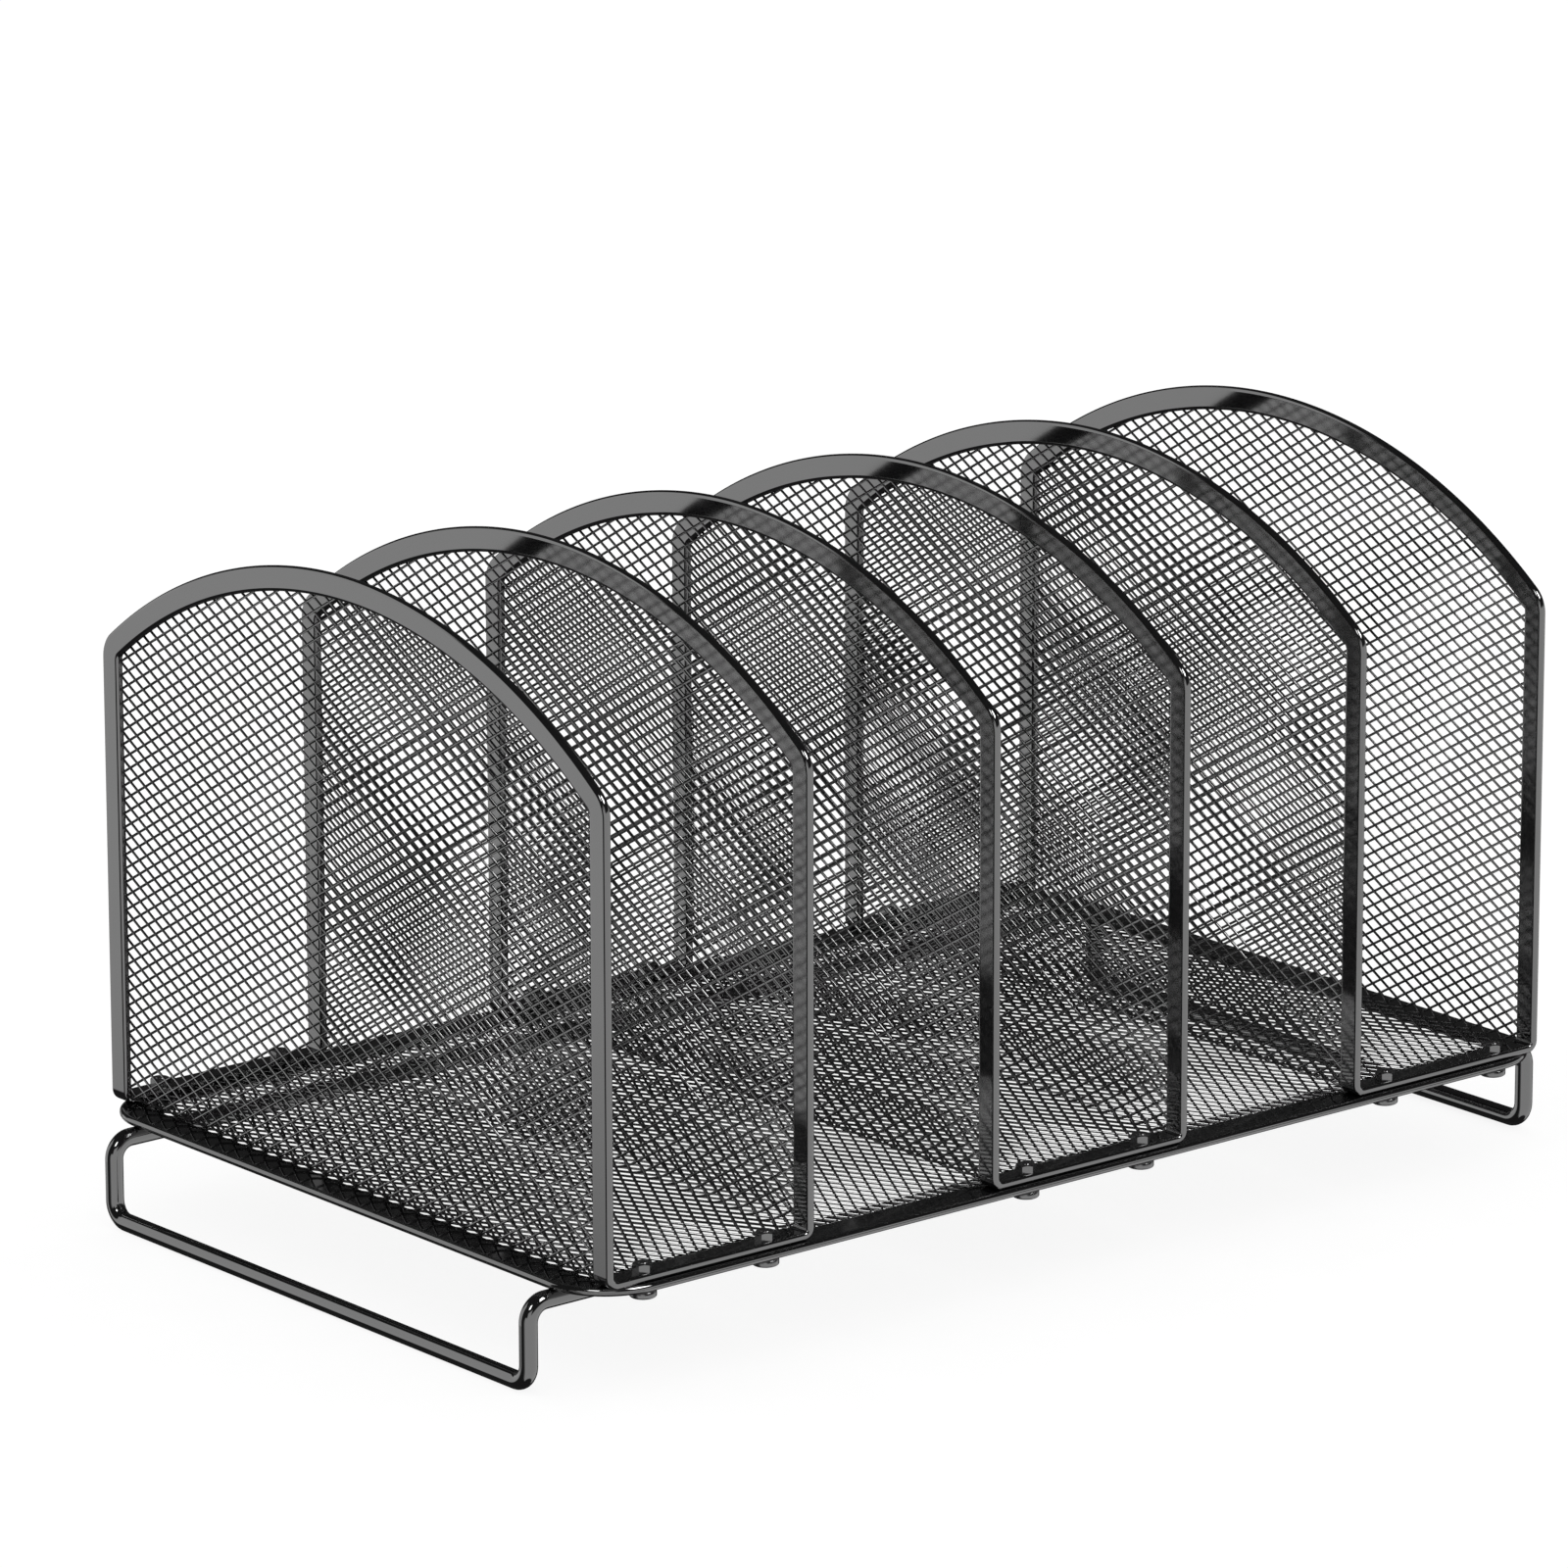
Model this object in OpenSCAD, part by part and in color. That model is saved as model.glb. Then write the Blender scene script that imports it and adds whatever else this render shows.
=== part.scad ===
// Desktop file sorter: three U-shaped mesh compartments with arched walls,
// screwed to a framed mesh base that sits on a stand bent from round rod.
// Units are millimetres, +Z is up. X runs along the row of compartments and
// Y runs across it. The origin is on the desk under the middle of the sorter.

/* [Compartments] */
// Distance between the middles of neighbouring compartments
unit_pitch = 147; // [140:0.5:150]
// Width of one compartment over its two walls
unit_w = 77.8; // [60:0.1:90]
// Depth of a compartment from its front edge to its back edge
unit_d = 245; // [225:1:270]
// Height of the crown of a wall above the base
crown_h = 189.2; // [160:0.1:240]
// Outer radius of the arch along the top of a wall
arch_r = 195; // [170:1:260]
// Outer radius where the arch turns down into the upright edges
shoulder_r = 10; // [8:0.5:16]

/* [Edge strip] */
// Width of the strip that edges each compartment
strip_w = 7.7; // [7:0.1:9]
// Thickness of the strip
strip_t = 2.6; // [2:0.1:3]
// Outer radius of the bend between a wall and the floor
fold_r = 3.8; // [3.2:0.1:8]

/* [Mesh] */
// Thickness of the mesh, drawn as an unpierced sheet
mesh_t = 0.65; // [0.5:0.05:1.2]

/* [Base] */
// Length of the base
base_l = 385; // [380:1:400]
// Width of the base
base_w = 248; // [248:1:260]
// Width of the rim around the base mesh
rim_w = 11.6; // [11:0.1:14]
// Thickness of the rim
rim_t = 2.7; // [2:0.1:4]
// Outer corner radius of the rim
rim_r = 22; // [16:1:30]

/* [Stand] */
// Diameter of the rod
rod_d = 5.6; // [4:0.1:7]
// Centre-line radius of every bend in the rod
rod_bend_r = 6; // [4:0.5:9]
// Distance between the middles of the two rails
rail_gauge = 204.8; // [180:0.2:210]
// Height from the middle of the foot bars to the middle of the rails
rail_rise = 24.7; // [20:0.1:60]
// Gap between the end of the base and the upright rods
end_gap = 4.3; // [0:0.1:10]

/* [Fasteners] */
// Distance along X between the two screws at one edge of a compartment
screw_spacing = 46; // [30:1:50]
// Diameter of the screw thread
screw_d = 3; // [3:0.1:3.2]
// Diameter of the round screw head
head_d = 8.2; // [6:0.1:9]
// Height of the round screw head
head_h = 2.7; // [1.4:0.1:3]
// Width of the hexagon nut across its flats
nut_af = 5.5; // [5:0.1:6]
// Height of the hexagon nut
nut_h = 2.4; // [2:0.1:3]

/* [Hidden] */

$fn = 96;
// Facets round the rod, fewer than elsewhere because it is thin and long.
rod_fn = 24;

// Heights of the layers, from the desk up.
foot_z = rod_d / 2;
rail_z = foot_z + rail_rise;
rim_z = rail_z + rod_d / 2;
floor_z = rim_z + rim_t;

// The arch is centred on the middle of the wall, below its crown.
arch_z = crown_h - arch_r;
// Radius of the rounding inside the shoulders of the strip.
window_corner_r = shoulder_r - strip_w;
// The mesh lies in the middle of the thickness of the strip and of the rim.
mesh_inset = (strip_t - mesh_t) / 2;
base_mesh_z = rim_z + (rim_t - mesh_t) / 2;

// Middle of the upright rods at the ends of the stand.
upright_x = base_l / 2 + end_gap + rod_d / 2;

// Fastener positions, clearances and the length of thread past the nut.
screw_y = (unit_d - strip_w) / 2;
hole_d = screw_d + 0.4;
thread_end = 0.3;
thread_l = rim_t + strip_t + nut_h + thread_end;
// Width across corners of a hexagon that is one unit across its flats.
hex_corner = 2 / sqrt(3);
// Turn of each nut about its screw, so that two flats stand square to the row.
nut_turn = 30;

steel_black = [0.10, 0.10, 0.11];
mesh_black = [0.20, 0.20, 0.22];
screw_black = [0.28, 0.28, 0.30];

// ---- outlines ----

// Rectangle centred on the origin with round corners.
module round_rect(l, w, r) {
    square([l - 2 * r, w], center = true);
    square([l, w - 2 * r], center = true);
    for (sx = [-1, 1], sy = [-1, 1])
        translate([sx * (l / 2 - r), sy * (w / 2 - r)]) circle(r);
}

// Outline of an arched wall, moved in by `inset`, with `corner_r` shoulders.
// It is drawn with the floor line at zero and reaches `drop` below it.
module wall_outline(inset, corner_r, drop = 0) {
    half_w = unit_d / 2 - inset;
    top_r = arch_r - inset;
    corner_y = half_w - corner_r;
    corner_z = arch_z + sqrt(pow(top_r - corner_r, 2) - pow(corner_y, 2));
    // Far enough out that the wedge covers the whole arch.
    reach = 2 * top_r / (corner_z - arch_z);
    translate([-half_w, -drop]) square([2 * half_w, corner_z + drop]);
    for (s = [-1, 1]) translate([s * corner_y, corner_z]) circle(corner_r);
    intersection() {
        translate([0, arch_z]) circle(top_r, $fn = 240);
        translate([0, arch_z]) polygon([
            [0, 0],
            [corner_y * reach, (corner_z - arch_z) * reach],
            [-corner_y * reach, (corner_z - arch_z) * reach]
        ]);
    }
}

// Solid with the wall outline, spanning the compartment along X.
module wall_prism(inset, corner_r, drop = 0) {
    rotate([90, 0, 90])
        linear_extrude(unit_w + 2, center = true)
            wall_outline(inset, corner_r, drop);
}

// U outline of width `w` whose two lower corners have radius `r`.
module u_outline(w, r) {
    translate([-w / 2, r]) square([w, crown_h + 1 - r]);
    translate([r - w / 2, 0]) square([w - 2 * r, crown_h + 1]);
    for (s = [-1, 1]) translate([s * (w / 2 - r), r]) circle(r);
}

// Channel that folds up into both walls: the skin between `inset` and
// `inset + t` under the outside of the compartment.
module channel(inset, t) {
    rotate([90, 0, 0]) linear_extrude(unit_d + 2, center = true) difference() {
        translate([0, inset]) u_outline(unit_w - 2 * inset, fold_r - inset);
        translate([0, inset + t])
            u_outline(unit_w - 2 * (inset + t), fold_r - inset - t);
    }
}

// ---- one compartment, standing on z = 0 at the origin ----

// Places one fastener at each of the four screw positions.
module at_screws() {
    for (sx = [-1, 1], sy = [-1, 1])
        translate([sx * screw_spacing / 2, sy * screw_y, 0]) children();
}

// Strip that runs round the arches, down the uprights and along the floor.
module unit_frame() {
    difference() {
        intersection() {
            channel(0, strip_t);
            wall_prism(0, shoulder_r);
        }
        wall_prism(strip_w, window_corner_r, drop = 1);
        at_screws() translate([0, 0, -1]) cylinder(d = hole_d, h = strip_t + 2);
    }
}

// Mesh of the two walls and the floor, filling the strip.
module unit_mesh() {
    intersection() {
        channel(mesh_inset, mesh_t);
        wall_prism(strip_w, window_corner_r);
    }
}

// Round-headed screws pushed up through the rim and the strip.
module unit_screws() {
    at_screws() {
        translate([0, 0, -rim_t - head_h]) cylinder(d = head_d, h = head_h);
        translate([0, 0, -rim_t]) cylinder(d = screw_d, h = thread_l);
    }
}

// Hexagon nuts on top of the strip.
module unit_nuts() {
    at_screws() translate([0, 0, strip_t]) difference() {
        rotate(nut_turn) cylinder(d = nut_af * hex_corner, h = nut_h, $fn = 6);
        translate([0, 0, -1]) cylinder(d = screw_d, h = nut_h + 2);
    }
}

// Moves a compartment's piece to place `i` in the row: -1, 0 or 1.
module at_unit(i) {
    translate([i * unit_pitch, 0, floor_z]) children();
}

// ---- stand ----

// Quarter bend from the +X direction round to +Y, centred on the origin.
module rod_bend() {
    rotate_extrude(angle = 90, $fn = 2 * rod_fn)
        translate([rod_bend_r, 0]) circle(d = rod_d, $fn = rod_fn);
}

// Straight rod of length `l` centred on the origin along Z.
module rod(l) {
    cylinder(d = rod_d, h = l, center = true, $fn = rod_fn);
}

// Rail end, upright and foot bend at the +X, +Y corner of the stand.
module stand_corner() {
    rail_y = rail_gauge / 2;
    upright_l = rail_rise - 2 * rod_bend_r;
    translate([upright_x - rod_bend_r, rail_y, rail_z - rod_bend_r])
        rotate([90, 0, 0]) rod_bend();
    translate([upright_x, rail_y, (foot_z + rail_z) / 2]) rod(upright_l);
    translate([upright_x, rail_y - rod_bend_r, foot_z + rod_bend_r])
        rotate([0, 90, 0]) rod_bend();
}

// ---- sub-parts ----

// One closed loop of rod: two rails joined by a foot at each end.
module stand() {
    color(steel_black) {
        for (mx = [0, 1], my = [0, 1])
            mirror([mx, 0, 0]) mirror([0, my, 0]) stand_corner();
        for (s = [-1, 1]) {
            translate([0, s * rail_gauge / 2, rail_z]) rotate([0, 90, 0])
                rod(2 * (upright_x - rod_bend_r));
            translate([s * upright_x, 0, foot_z]) rotate([90, 0, 0])
                rod(rail_gauge - 2 * rod_bend_r);
        }
    }
}

// Flat rim round the base, pierced for the screws.
module base_rim() {
    color(steel_black) difference() {
        translate([0, 0, rim_z]) linear_extrude(rim_t) difference() {
            round_rect(base_l, base_w, rim_r);
            round_rect(base_l - 2 * rim_w, base_w - 2 * rim_w, rim_r - rim_w);
        }
        for (i = [-1:1]) at_unit(i) at_screws()
            translate([0, 0, -rim_t - 1]) cylinder(d = hole_d, h = rim_t + 2);
    }
}

// Mesh that fills the rim.
module base_mesh() {
    color(mesh_black) translate([0, 0, base_mesh_z]) linear_extrude(mesh_t)
        round_rect(base_l - 2 * rim_w, base_w - 2 * rim_w, rim_r - rim_w);
}

module unit_1_frame() { color(steel_black) at_unit(-1) unit_frame(); }
module unit_1_mesh() { color(mesh_black) at_unit(-1) unit_mesh(); }
module unit_1_screws() { color(screw_black) at_unit(-1) unit_screws(); }
module unit_1_nuts() { color(screw_black) at_unit(-1) unit_nuts(); }

module unit_2_frame() { color(steel_black) at_unit(0) unit_frame(); }
module unit_2_mesh() { color(mesh_black) at_unit(0) unit_mesh(); }
module unit_2_screws() { color(screw_black) at_unit(0) unit_screws(); }
module unit_2_nuts() { color(screw_black) at_unit(0) unit_nuts(); }

module unit_3_frame() { color(steel_black) at_unit(1) unit_frame(); }
module unit_3_mesh() { color(mesh_black) at_unit(1) unit_mesh(); }
module unit_3_screws() { color(screw_black) at_unit(1) unit_screws(); }
module unit_3_nuts() { color(screw_black) at_unit(1) unit_nuts(); }

stand();
base_rim();
base_mesh();
unit_1_frame();
unit_1_mesh();
unit_1_screws();
unit_1_nuts();
unit_2_frame();
unit_2_mesh();
unit_2_screws();
unit_2_nuts();
unit_3_frame();
unit_3_mesh();
unit_3_screws();
unit_3_nuts();
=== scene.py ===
"""Looks of a desktop file sorter: gloss black steel strip, expanded mesh and rod.

Lengths are in metres, +Z is up, +X runs along the row of compartments and the
open sides face -Y and +Y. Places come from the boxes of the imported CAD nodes.
"""

import math

import bpy
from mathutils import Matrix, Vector


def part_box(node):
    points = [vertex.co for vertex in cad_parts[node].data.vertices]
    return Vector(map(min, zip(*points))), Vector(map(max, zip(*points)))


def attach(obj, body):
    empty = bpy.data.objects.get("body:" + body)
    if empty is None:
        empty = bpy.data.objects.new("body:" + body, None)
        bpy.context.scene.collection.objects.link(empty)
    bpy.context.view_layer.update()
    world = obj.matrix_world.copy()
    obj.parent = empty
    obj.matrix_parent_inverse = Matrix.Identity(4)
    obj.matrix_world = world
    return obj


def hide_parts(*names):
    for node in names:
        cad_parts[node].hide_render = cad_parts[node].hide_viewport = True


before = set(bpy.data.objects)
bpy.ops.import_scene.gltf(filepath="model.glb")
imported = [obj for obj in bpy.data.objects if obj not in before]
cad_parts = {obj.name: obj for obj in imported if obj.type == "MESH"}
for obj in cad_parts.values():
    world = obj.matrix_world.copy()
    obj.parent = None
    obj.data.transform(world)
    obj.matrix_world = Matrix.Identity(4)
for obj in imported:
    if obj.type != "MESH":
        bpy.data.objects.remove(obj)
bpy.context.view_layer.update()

MM = 0.001
UNITS = (1, 2, 3)

# ---- sizes ----

# Sizes of the edge strip and the walls that no box gives.
STRIP_W = 7.7 * MM
STRIP_T = 2.6 * MM
STRIP_EDGE = 1.05 * MM
FOLD_R = 3.8 * MM
ARCH_R = 195 * MM
SHOULDER_R = 10 * MM
# Base rim.
RIM_R = 22 * MM
RIM_EDGE = 1.3 * MM
# Diamonds of the mesh and the strands between them.
DIAMOND_LONG = 7.57 * MM
DIAMOND_SHORT = 4.355 * MM
STRAND_W = 0.82 * MM
STRAND_T = 0.76 * MM
# How far the mesh runs on inside the strip that holds it.
MESH_GRIP = 0.8 * MM
# Rod of the stand.
ROD_D = 5.6 * MM
ROD_BEND_R = 6 * MM
# How far past a bend the shading is held straight, along a piece and across it.
HOLD = 0.4 * MM
EDGE_HOLD = 0.12 * MM
# Steps in each bend: round the edge of a bar and of a screw head, and along the
# strip, the rim and the rod.
EDGE_STEPS = 5
CROWN_STEPS = 8
FOLD_STEPS = 8
SHOULDER_STEPS = 10
ARCH_STEPS = 100
RIM_STEPS = 16
ROD_STEPS = 14
# Points that Blender adds on each half of the rod's section.
ROD_ROUNDNESS = 10
# Flat sides round a strand and a screw, and steps along each side of a nut.
STRAND_SIDES = 8
SCREW_SIDES = 32
NUT_SIDE_STEPS = 8
# Halvings in the search for where a strand meets the rim.
HALVINGS = 20
# Fasteners.
SCREW_D = 3 * MM
HEAD_D = 8.2 * MM
HEAD_H = 2.7 * MM
NUT_AF = 5.5 * MM
NUT_H = 2.4 * MM
# Circle that the chamfer leaves on top of a nut, and the chamfer's slope.
NUT_TOP_D = 5.3 * MM
CHAMFER_ANGLE = math.radians(30)
# Screw past the nut, and the bevel on its end.
THREAD_END = 0.3 * MM
END_BEVEL = 0.25 * MM
# Round edge of the screw head, across and along the screw.
CROWN_R = 1.0 * MM
CROWN_H = 0.7 * MM


def size_and_middle(node):
    """Size and centre of a CAD node's box."""
    low, high = (Vector(corner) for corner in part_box(node))
    return high - low, (low + high) / 2


unit_size, unit_mid = size_and_middle("unit_2_frame")
rim_size, rim_mid = size_and_middle("base_rim")
mesh_size = size_and_middle("base_mesh")[0]
stand_size = size_and_middle("stand")[0]

UNIT_W, UNIT_D, UNIT_H = unit_size
UNIT_X = {i: size_and_middle(f"unit_{i}_frame")[1].x for i in UNITS}
FLOOR_Z = unit_mid.z - UNIT_H / 2
RIM_T = rim_size.z
RIM_W = (rim_size.x - mesh_size.x) / 2


# ---- mesh helpers ----

def arc(centre, radius, start, end, steps, hold=0.0):
    """Stations along an arc in the plane: pairs of a point and its outward normal.

    With `hold`, one more station lies that far past each end, on the straight that
    follows, which keeps the straight flat under smooth shading.
    """
    def station(angle, past):
        nx, ny = math.cos(angle), math.sin(angle)
        return (centre[0] + radius * nx - past * ny, centre[1] + radius * ny + past * nx), (nx, ny)

    stations = [station(start + (end - start) * k / steps, 0) for k in range(steps + 1)]
    if hold:
        past = math.copysign(hold, end - start)
        stations = [station(start, -past), *stations, station(end, past)]
    return stations


def rounded_rectangle(width, height, radius, steps, hold):
    """Stations round a rectangle with round corners, centred on the origin."""
    stations = []
    for k, (sx, sy) in enumerate(((1, 1), (-1, 1), (-1, -1), (1, -1))):
        centre = (sx * (width / 2 - radius), sy * (height / 2 - radius))
        start = k * math.pi / 2
        stations += arc(centre, radius, start, start + math.pi / 2, steps, hold)
    return stations


def bar_section(width, thickness, radius):
    """Cross-section of a flat bar with round edges, as (u, h) points."""
    outline = rounded_rectangle(width, thickness, radius, EDGE_STEPS, EDGE_HOLD)
    return [point for point, _ in outline]


def make_piece(name, verts, faces, material, slot, replaced, smooth=True):
    """Adds a mesh object that rides on the sorter and stands for the CAD nodes named."""
    mesh = bpy.data.meshes.new(name)
    mesh.from_pydata(verts, [], faces)
    mesh.update()
    for polygon in mesh.polygons:
        polygon.use_smooth = smooth
    mesh.materials.append(material)
    piece = bpy.data.objects.new(name, mesh)
    bpy.context.scene.collection.objects.link(piece)
    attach(piece, "root")
    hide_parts(*replaced)
    return piece


def ring_faces(rings, points, closed=True, first=0):
    """Quads between neighbouring rings of `points` vertices each."""
    faces = []
    for i in range(rings if closed else rings - 1):
        here = first + i * points
        there = first + (i + 1) % rings * points
        for j in range(points):
            k = (j + 1) % points
            faces.append((here + j, there + j, there + k, here + k))
    return faces


def sweep(stations, profile, place):
    """Closed band whose cross-section follows the stations; place(s, y, h) sets each point."""
    verts = []
    for (s, y), (ns, ny) in stations:
        verts += [place(s + u * ns, y + u * ny, h) for u, h in profile]
    return verts, ring_faces(len(stations), len(profile))


# ---- the compartment as an unrolled sheet ----
# s runs across the floor and up both walls along the middle of the strip's
# thickness, y runs front to back, and h is the height over that middle.

FOLD_MID_R = FOLD_R - STRIP_T / 2
FOLD_START = UNIT_W / 2 - FOLD_R
FOLD_END = FOLD_START + FOLD_MID_R * math.pi / 2
# The arch's centre along s, which lies on the line of the wall carried on down.
ARCH_S = FOLD_END + UNIT_H - ARCH_R - FOLD_R
SHOULDER_Y = UNIT_D / 2 - SHOULDER_R
SHOULDER_S = ARCH_S + math.sqrt((ARCH_R - SHOULDER_R) ** 2 - SHOULDER_Y ** 2)


def fold(s, y, h):
    """Place of an unrolled point in a compartment standing at the origin."""
    side, run = math.copysign(1, s), abs(s)
    if run <= FOLD_START:
        return (s, y, STRIP_T / 2 + h)
    if run >= FOLD_END:
        return (side * (UNIT_W / 2 - STRIP_T / 2 - h), y, FOLD_R + run - FOLD_END)
    angle = (run - FOLD_START) / FOLD_MID_R
    radius = FOLD_MID_R - h
    return (side * (FOLD_START + radius * math.sin(angle)), y, FOLD_R - radius * math.cos(angle))


def fold_runs():
    """Distances along s through one fold, from just before its start to just past its end."""
    turn = [FOLD_START + (FOLD_END - FOLD_START) * k / FOLD_STEPS for k in range(FOLD_STEPS + 1)]
    return [FOLD_START - HOLD, *turn, FOLD_END + HOLD]


def strip_stations():
    """Stations round the middle line of a compartment's edge strip."""
    half_y = (UNIT_D - STRIP_W) / 2
    shoulder_r = SHOULDER_R - STRIP_W / 2
    lean = math.atan2(SHOULDER_Y, SHOULDER_S - ARCH_S)
    runs = [0, *fold_runs()]
    half = [((s, -half_y), (0, -1)) for s in runs]
    half.append(((SHOULDER_S - HOLD, -half_y), (0, -1)))
    half += arc((SHOULDER_S, -SHOULDER_Y), shoulder_r, -math.pi / 2, -lean, SHOULDER_STEPS)
    half += arc((ARCH_S, 0), ARCH_R - STRIP_W / 2, -lean, lean, ARCH_STEPS)[1:-1]
    half += arc((SHOULDER_S, SHOULDER_Y), shoulder_r, lean, math.pi / 2, SHOULDER_STEPS)
    half.append(((SHOULDER_S - HOLD, half_y), (0, 1)))
    half += [((s, half_y), (0, 1)) for s in reversed(runs[1:])]
    # The other wall is this one turned half round.
    return half + [((-s, -y), (-ns, -ny)) for (s, y), (ns, ny) in half]


def wall_span(point, step):
    """Range of t for which point + t * step lies in the window of the strip, or None."""
    half_y = UNIT_D / 2 - STRIP_W + MESH_GRIP
    top_r = ARCH_R - STRIP_W + MESH_GRIP
    lo, hi = sorted(((-half_y - point[1]) / step[1], (half_y - point[1]) / step[1]))
    for side in (1, -1):
        # Where the line crosses the arch of this wall.
        ds, dy = side * step[0], step[1]
        s, y = side * point[0] - ARCH_S, point[1]
        a, b, c = ds * ds + dy * dy, s * ds + y * dy, s * s + y * y - top_r * top_r
        root = b * b - a * c
        if root <= 0:
            if s - b * ds / a > 0:
                return None
            continue
        near, far = (-b - math.sqrt(root)) / a, (-b + math.sqrt(root)) / a
        if s + near * ds > 0:
            lo = max(lo, near)
        if s + far * ds > 0:
            hi = min(hi, far)
    return (lo, hi) if hi > lo else None


def rim_span(point, step):
    """The same for the window of the base rim, whose corners are round."""
    half_x = mesh_size.x / 2 + MESH_GRIP
    half_y = mesh_size.y / 2 + MESH_GRIP
    corner = RIM_R - RIM_W + MESH_GRIP
    lo, hi = -1e9, 1e9
    for p, d, half in ((point[0], step[0], half_x), (point[1], step[1], half_y)):
        ends = sorted(((-half - p) / d, (half - p) / d))
        lo, hi = max(lo, ends[0]), min(hi, ends[1])
    if hi <= lo:
        return None

    def inside(t):
        x = abs(point[0] + t * step[0]) - (half_x - corner)
        y = abs(point[1] + t * step[1]) - (half_y - corner)
        return x < 0 or y < 0 or x * x + y * y < corner * corner

    middle = (lo + hi) / 2
    if not inside(middle):
        return None
    return bisect(inside, middle, lo), bisect(inside, middle, hi)


def bisect(inside, kept, limit):
    """The value nearest to `limit` that is still inside, coming from `kept`."""
    if inside(limit):
        return limit
    for _ in range(HALVINGS):
        middle = (kept + limit) / 2
        if inside(middle):
            kept = middle
        else:
            limit = middle
    return kept


def expanded_mesh(reach_s, reach_y, span, place, crossing=(0, 0), breaks=()):
    """Two families of straight strands that cross in diamonds, one of them at `crossing`.

    `breaks` are the places along s where a strand bends and needs more points.
    """
    verts, faces = [], []
    rows = math.ceil(reach_s / DIAMOND_SHORT + reach_y / DIAMOND_LONG) + 1
    # Runs clockwise, which turns the faces of a strand outwards.
    turns = [2 * math.pi * k / STRAND_SIDES for k in range(STRAND_SIDES)]
    section = [(math.cos(a), -math.sin(a)) for a in turns]
    for slope in (1, -1):
        step = Vector((slope * DIAMOND_SHORT, DIAMOND_LONG)).normalized()
        across = Vector((-step.y, step.x))
        for row in range(-rows, rows + 1):
            start = Vector((row * DIAMOND_SHORT, 0)) + Vector(crossing)
            ends = span(start, step)
            if ends is None:
                continue
            cuts = sorted((s - start.x) / step.x for s in breaks)
            stops = [ends[0], *(t for t in cuts if ends[0] < t < ends[1]), ends[1]]
            first = len(verts)
            for t in stops:
                for c, h in section:
                    p = start + t * step + c * STRAND_W / 2 * across
                    verts.append(place(p.x, p.y, h * STRAND_T / 2))
            faces += ring_faces(len(stops), len(section), closed=False, first=first)
            last = len(verts) - len(section)
            faces.append(tuple(range(first, first + len(section))))
            faces.append(tuple(reversed(range(last, len(verts)))))
    return verts, faces


# ---- materials ----

def new_material(name):
    """Material with nodes, its shader, and a helper that adds and links nodes."""
    material = bpy.data.materials.new(name)
    material.use_nodes = True
    nodes, links = material.node_tree.nodes, material.node_tree.links
    shader = nodes["Principled BSDF"]

    def add(kind, inputs=(), **settings):
        node = nodes.new(kind)
        for key, value in settings.items():
            setattr(node, key, value)
        for key, value in dict(inputs).items():
            if isinstance(value, bpy.types.NodeSocket):
                links.new(value, node.inputs[key])
            else:
                node.inputs[key].default_value = value
        return node

    return material, shader, add, links


# The photo's highlights are brighter than clear lacquer over black would give.
GLOSS_IOR = 2.4
# Size of the bumps of the orange peel.
PEEL_HEIGHT = 0.02 * MM


def gloss_black(name, shade, roughness, peel):
    """Baked gloss black paint: faint orange peel, and a little dust in the sheen."""
    material, shader, add, links = new_material(name)
    place = add("ShaderNodeTexCoord").outputs["Object"]
    fine = add("ShaderNodeTexNoise", {"Vector": place, "Scale": 900.0, "Detail": 2.0})
    broad = add("ShaderNodeTexNoise", {"Vector": place, "Scale": 45.0, "Detail": 4.0})
    tint = add("ShaderNodeValToRGB", {"Fac": broad.outputs["Fac"]})
    tint.color_ramp.elements[0].color = (shade * 0.8, shade * 0.8, shade * 0.85, 1)
    tint.color_ramp.elements[1].color = (shade * 1.2, shade * 1.2, shade * 1.25, 1)
    sheen = add("ShaderNodeMapRange", {
        "Value": broad.outputs["Fac"], "From Min": 0.35, "From Max": 0.65,
        "To Min": roughness * 0.85, "To Max": roughness * 1.15,
    })
    bump = add("ShaderNodeBump", {
        "Height": fine.outputs["Fac"], "Strength": peel, "Distance": PEEL_HEIGHT,
    })
    links.new(tint.outputs["Color"], shader.inputs["Base Color"])
    links.new(sheen.outputs["Result"], shader.inputs["Roughness"])
    links.new(bump.outputs["Normal"], shader.inputs["Normal"])
    shader.inputs["IOR"].default_value = GLOSS_IOR
    return material


STRIP_PAINT = gloss_black("strip_paint", 0.003, 0.07, 0.04)
ROD_PAINT = gloss_black("rod_paint", 0.003, 0.07, 0.04)
MESH_PAINT = gloss_black("mesh_paint", 0.002, 0.1, 0.0)
SCREW_PAINT = gloss_black("screw_paint", 0.01, 0.2, 0.05)


# ---- pieces ----

def unit_place(x):
    """Placing function for a compartment whose middle is at x."""
    def place(s, y, h):
        px, py, pz = fold(s, y, h)
        return (px + x, py, pz + FLOOR_Z)
    return place


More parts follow.
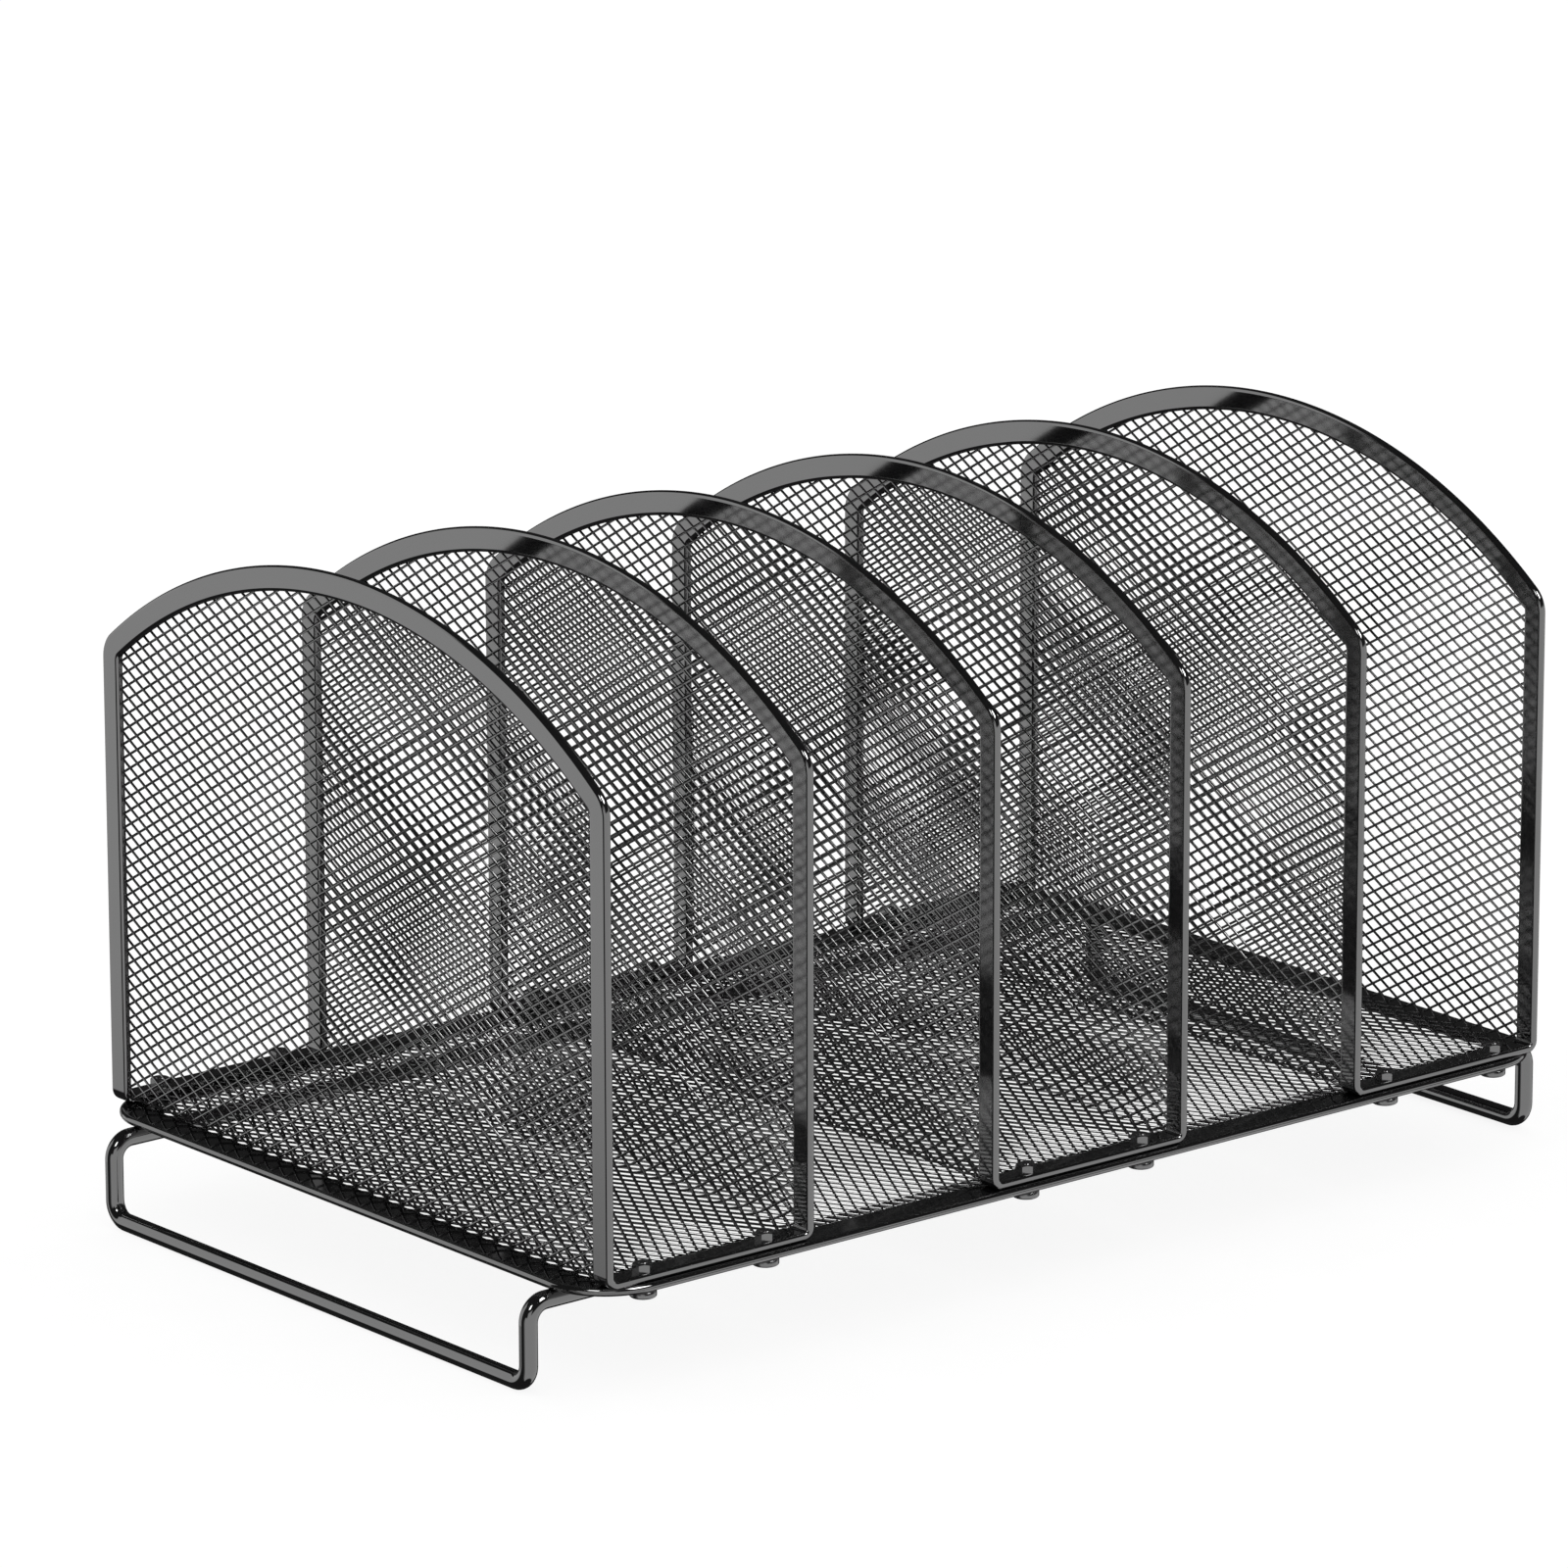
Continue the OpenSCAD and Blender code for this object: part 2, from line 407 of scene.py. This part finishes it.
def build_compartments():
    profile = bar_section(STRIP_W, STRIP_T, STRIP_EDGE)
    stations = strip_stations()
    breaks = [side * s for side in (1, -1) for s in fold_runs()]
    camera = camera_place()
    for i in UNITS:
        place = unit_place(UNIT_X[i])
        make_piece(f"edge_strip_{i}", *sweep(stations, profile, place),
                   STRIP_PAINT, "black_strip", [f"unit_{i}_frame"])
        # The floor's strands are placed to hide those of the base mesh below them from
        # the camera. The base mesh has a crossing over the origin.
        spot = Vector((UNIT_X[i], 0, FLOOR_Z + STRIP_T / 2))
        sight = spot - camera
        under = sight * (rim_mid.z - spot.z) / sight.z
        crossing = (-UNIT_X[i] - under.x) % DIAMOND_SHORT, -under.y % DIAMOND_LONG
        strands = expanded_mesh(
            ARCH_S + ARCH_R, UNIT_D / 2, wall_span, place, crossing, breaks)
        make_piece(f"wall_mesh_{i}", *strands, MESH_PAINT, "black_mesh", [f"unit_{i}_mesh"])


def build_base():
    stations = rounded_rectangle(
        rim_size.x - RIM_W, rim_size.y - RIM_W, RIM_R - RIM_W / 2, RIM_STEPS, HOLD)

    def place(s, y, h):
        return (s, y, rim_mid.z + h)

    profile = bar_section(RIM_W, RIM_T, RIM_EDGE)
    make_piece("rim_strip", *sweep(stations, profile, place),
               STRIP_PAINT, "black_strip", ["base_rim"])
    strands = expanded_mesh(rim_size.x / 2, rim_size.y / 2, rim_span, place)
    make_piece("floor_mesh", *strands, MESH_PAINT, "black_mesh", ["base_mesh"])


def rod_path():
    """Points round the middle of the stand's closed loop of rod."""
    x, y = (stand_size.x - ROD_D) / 2, (stand_size.y - ROD_D) / 2
    foot, rail = ROD_D / 2, stand_size.z - ROD_D / 2
    r = ROD_BEND_R
    # From the rail round to the upright, then from the upright round to the foot.
    upper = arc((x - r, rail - r), r, math.pi / 2, 0, ROD_STEPS, HOLD)
    lower = arc((y - r, foot + r), r, 0, -math.pi / 2, ROD_STEPS, HOLD)
    corner = [(px, y, pz) for (px, pz), _ in upper] + [(x, py, pz) for (py, pz), _ in lower]
    points = []
    for sx, sy in ((1, 1), (1, -1), (-1, -1), (-1, 1)):
        run = corner if sx == sy else list(reversed(corner))
        points += [(sx * px, sy * py, pz) for px, py, pz in run]
    return points


def build_stand():
    curve = bpy.data.curves.new("stand_rod", "CURVE")
    curve.dimensions = "3D"
    curve.bevel_depth = ROD_D / 2
    curve.bevel_resolution = ROD_ROUNDNESS
    path = rod_path()
    spline = curve.splines.new("POLY")
    spline.points.add(len(path) - 1)
    for point, place in zip(spline.points, path):
        point.co = (*place, 1)
    spline.use_cyclic_u = True
    drawn = bpy.data.objects.new("stand_curve", curve)
    bpy.context.scene.collection.objects.link(drawn)
    bpy.context.view_layer.update()
    tube = bpy.data.meshes.new_from_object(
        drawn.evaluated_get(bpy.context.evaluated_depsgraph_get()))
    bpy.data.objects.remove(drawn)
    tube.name = "stand_rod"
    tube.materials.clear()
    tube.materials.append(ROD_PAINT)
    for polygon in tube.polygons:
        polygon.use_smooth = True
    stand = bpy.data.objects.new("stand_rod", tube)
    bpy.context.scene.collection.objects.link(stand)
    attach(stand, "root")
    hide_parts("stand")


def lathe(outline, steps, place):
    """Turns an outline of (radius, z) points about the axis at `place` and caps both ends."""
    verts = []
    for radius, z in outline:
        for k in range(steps):
            a = 2 * math.pi * k / steps
            verts.append((place[0] + radius * math.cos(a), place[1] + radius * math.sin(a),
                          place[2] + z))
    faces = ring_faces(len(outline), steps, closed=False)
    faces = [tuple(reversed(f)) for f in faces]
    faces.append(tuple(reversed(range(steps))))
    faces.append(tuple(range(len(verts) - steps, len(verts))))
    return verts, faces


def screw_outline():
    """Half outline of a round-headed screw, from its crowned head up to its bevelled end."""
    seat = -RIM_T
    low = seat - HEAD_H
    crown = [(HEAD_D / 2 - CROWN_R * (1 - nx), low + CROWN_H * (1 - nz))
             for _, (nz, nx) in arc((0, 0), 1, 0, math.pi / 2, CROWN_STEPS)]
    end = STRIP_T + NUT_H + THREAD_END
    shank = SCREW_D / 2
    return [*crown, (HEAD_D / 2, seat), (shank, seat),
            (shank, end - END_BEVEL), (shank - END_BEVEL, end)]


def nut_rings():
    """Rings round a hexagon nut with chamfered upper corners, as lists of (x, y, z)."""
    steps = 6 * NUT_SIDE_STEPS
    bore, top = SCREW_D / 2, NUT_TOP_D / 2
    rings = [[], [], [], [], []]
    for k in range(steps):
        a = 2 * math.pi * k / steps
        off = (a + math.pi / 6) % (math.pi / 3) - math.pi / 6
        side = NUT_AF / 2 / math.cos(off)
        drop = (side - top) * math.tan(CHAMFER_ANGLE)
        for ring, (r, z) in zip(rings, (
                (bore, 0), (side, 0), (side, NUT_H - drop), (top, NUT_H), (bore, NUT_H))):
            ring.append((r * math.cos(a), r * math.sin(a), z))
    return rings


def build_fasteners():
    for i in UNITS:
        size, mid = size_and_middle(f"unit_{i}_screws")
        offset_x, offset_y = (size.x - HEAD_D) / 2, (size.y - HEAD_D) / 2
        screws, nuts = ([], []), ([], [])
        for sx in (-1, 1):
            for sy in (-1, 1):
                spot = (mid.x + sx * offset_x, mid.y + sy * offset_y, FLOOR_Z)
                join(screws, lathe(screw_outline(), SCREW_SIDES, spot))
                rings = nut_rings()
                flat = [(x + spot[0], y + spot[1], z + spot[2] + STRIP_T)
                        for ring in rings for x, y, z in ring]
                faces = ring_faces(len(rings), len(rings[0]))
                join(nuts, (flat, [tuple(reversed(f)) for f in faces]))
        make_piece(f"screws_{i}", *screws, SCREW_PAINT, "black_fastener", [f"unit_{i}_screws"])
        make_piece(f"nuts_{i}", *nuts, SCREW_PAINT, "black_fastener", [f"unit_{i}_nuts"],
                   smooth=False)


def join(whole, part):
    """Adds a part's vertices and faces to a whole's."""
    first = len(whole[0])
    whole[0].extend(part[0])
    whole[1].extend(tuple(first + k for k in face) for face in part[1])


# ---- camera, floor and light ----

CAMERA_AZIMUTH = -39.602
CAMERA_ELEVATION = 15.321
CAMERA_ROLL = -0.112
CAMERA_DISTANCE = 2.8975
CAMERA_LENS = 216.1
CAMERA_AIM = Vector((-0.00902, 0.01139, 0.12593))


def camera_place():
    a, e = math.radians(CAMERA_AZIMUTH), math.radians(CAMERA_ELEVATION)
    back = Vector((math.sin(a) * math.cos(e), -math.cos(a) * math.cos(e), math.sin(e)))
    return CAMERA_AIM + back * CAMERA_DISTANCE


def build_camera():
    data = bpy.data.cameras.new("camera")
    data.lens = CAMERA_LENS
    data.sensor_width = 36
    data.clip_end = 50
    camera = bpy.data.objects.new("camera", data)
    camera.location = camera_place()
    camera.rotation_euler = (CAMERA_AIM - camera.location).to_track_quat("-Z", "Y").to_euler()
    camera.rotation_euler.rotate_axis("Z", math.radians(CAMERA_ROLL))
    bpy.context.scene.collection.objects.link(camera)
    bpy.context.scene.camera = camera


# Half the side of the floor, in metres. It glows, so that it shows as white as the
# photo's background and still takes a soft shadow.
FLOOR_HALF = 15
FLOOR_SHADES = (0.14, 0.16)
FLOOR_GLOW = 0.88


def build_floor():
    half = FLOOR_HALF
    mesh = bpy.data.meshes.new("floor")
    mesh.from_pydata([(-half, -half, 0), (half, -half, 0), (half, half, 0), (-half, half, 0)],
                     [], [(0, 1, 2, 3)])
    material, shader, add, links = new_material("floor_paper")
    grain = add("ShaderNodeTexNoise", {
        "Vector": add("ShaderNodeTexCoord").outputs["Object"], "Scale": 60.0})
    tone = add("ShaderNodeValToRGB", {"Fac": grain.outputs["Fac"]})
    for stop, shade in zip(tone.color_ramp.elements, FLOOR_SHADES):
        stop.color = (shade, shade, shade, 1)
    links.new(tone.outputs["Color"], shader.inputs["Base Color"])
    shader.inputs["Roughness"].default_value = 1
    shader.inputs["Specular IOR Level"].default_value = 0
    shader.inputs["Emission Color"].default_value = (1, 1, 1, 1)
    shader.inputs["Emission Strength"].default_value = FLOOR_GLOW
    mesh.materials.append(material)
    floor = bpy.data.objects.new("floor", mesh)
    floor.visible_glossy = False
    bpy.context.scene.collection.objects.link(floor)


# What gloss paint sees round the sorter: screens and lamps as azimuth and elevation,
# each (from, to, fade outside them) in degrees, and brightness. Azimuths count from the
# camera's side, positive towards its left.
SCREENS = (
    ((92, 121, 4), (-15.8, 36, 4), 1.0),
    ((92, 136, 5), (-15.8, 6, 6), 1.0),
    ((134, 158, 5), (-28, 0, 4), 0.5),
    ((-130, 40, 6), (-56, 6, 6), 1.0),
    ((-12, 14, 8), (0, 22, 6), 1.0),
    ((40, 52, 5), (-46, 0, 6), 0.35),
)
LAMPS = (
    ((12, 30, 2), (38, 52, 2), 8.0),
    ((-82, -48, 2), (38, 58, 2), 14.0),
)
DARK_LEVEL = 0.03
ROOM_LIGHT = 1.0


def build_world():
    """Even white light, with soft boxes that only reflections see."""
    world = bpy.data.worlds.new("studio")
    world.use_nodes = True
    tree = world.node_tree
    tree.nodes.clear()

    def add(kind, *inputs, **settings):
        node = tree.nodes.new(kind)
        for key, value in settings.items():
            setattr(node, key, value)
        for k, value in enumerate(inputs):
            if isinstance(value, bpy.types.NodeSocket):
                tree.links.new(value, node.inputs[k])
            elif value is not None:
                node.inputs[k].default_value = value
        return node

    def maths(operation, *inputs):
        return add("ShaderNodeMath", *inputs, operation=operation).outputs[0]

    def between(value, low, high, soft):
        """1 between low and high, falling smoothly to 0 within `soft` outside them."""
        rise = add("ShaderNodeMapRange", value, low - soft, low, 0.0, 1.0,
                   interpolation_type="SMOOTHSTEP").outputs[0]
        fall = add("ShaderNodeMapRange", value, high, high + soft, 1.0, 0.0,
                   interpolation_type="SMOOTHSTEP").outputs[0]
        return maths("MULTIPLY", rise, fall)

    # Turned so that azimuth 0 is the camera's side.
    turned = add("ShaderNodeVectorRotate", add("ShaderNodeTexCoord").outputs["Generated"],
                 rotation_type="Z_AXIS")
    turned.inputs["Angle"].default_value = math.radians(90 - CAMERA_AZIMUTH)
    x, y, z = add("ShaderNodeSeparateXYZ", turned.outputs[0]).outputs
    azimuth = maths("MULTIPLY", maths("ARCTAN2", y, x), -180 / math.pi)
    elevation = maths("MULTIPLY", maths("ARCSINE", z), 180 / math.pi)
    total = DARK_LEVEL
    for azimuths, elevations, brightness in SCREENS + LAMPS:
        patch = maths("MULTIPLY", between(azimuth, *azimuths), between(elevation, *elevations))
        total = maths("MAXIMUM", total, maths("MULTIPLY", patch, brightness))
    boxes = add("ShaderNodeBackground", None, None)
    tree.links.new(total, boxes.inputs["Strength"])
    boxes.inputs["Color"].default_value = (1, 1, 1, 1)
    room = add("ShaderNodeBackground", (1, 1, 1, 1), ROOM_LIGHT)
    glossy = add("ShaderNodeLightPath").outputs["Is Glossy Ray"]
    mix = add("ShaderNodeMixShader", glossy, room.outputs[0], boxes.outputs[0])
    output = tree.nodes.new("ShaderNodeOutputWorld")
    tree.links.new(mix.outputs[0], output.inputs["Surface"])
    bpy.context.scene.world = world


build_compartments()
build_base()
build_stand()
build_fasteners()
build_camera()
build_floor()
build_world()
bpy.context.scene.view_settings.view_transform = "Standard"
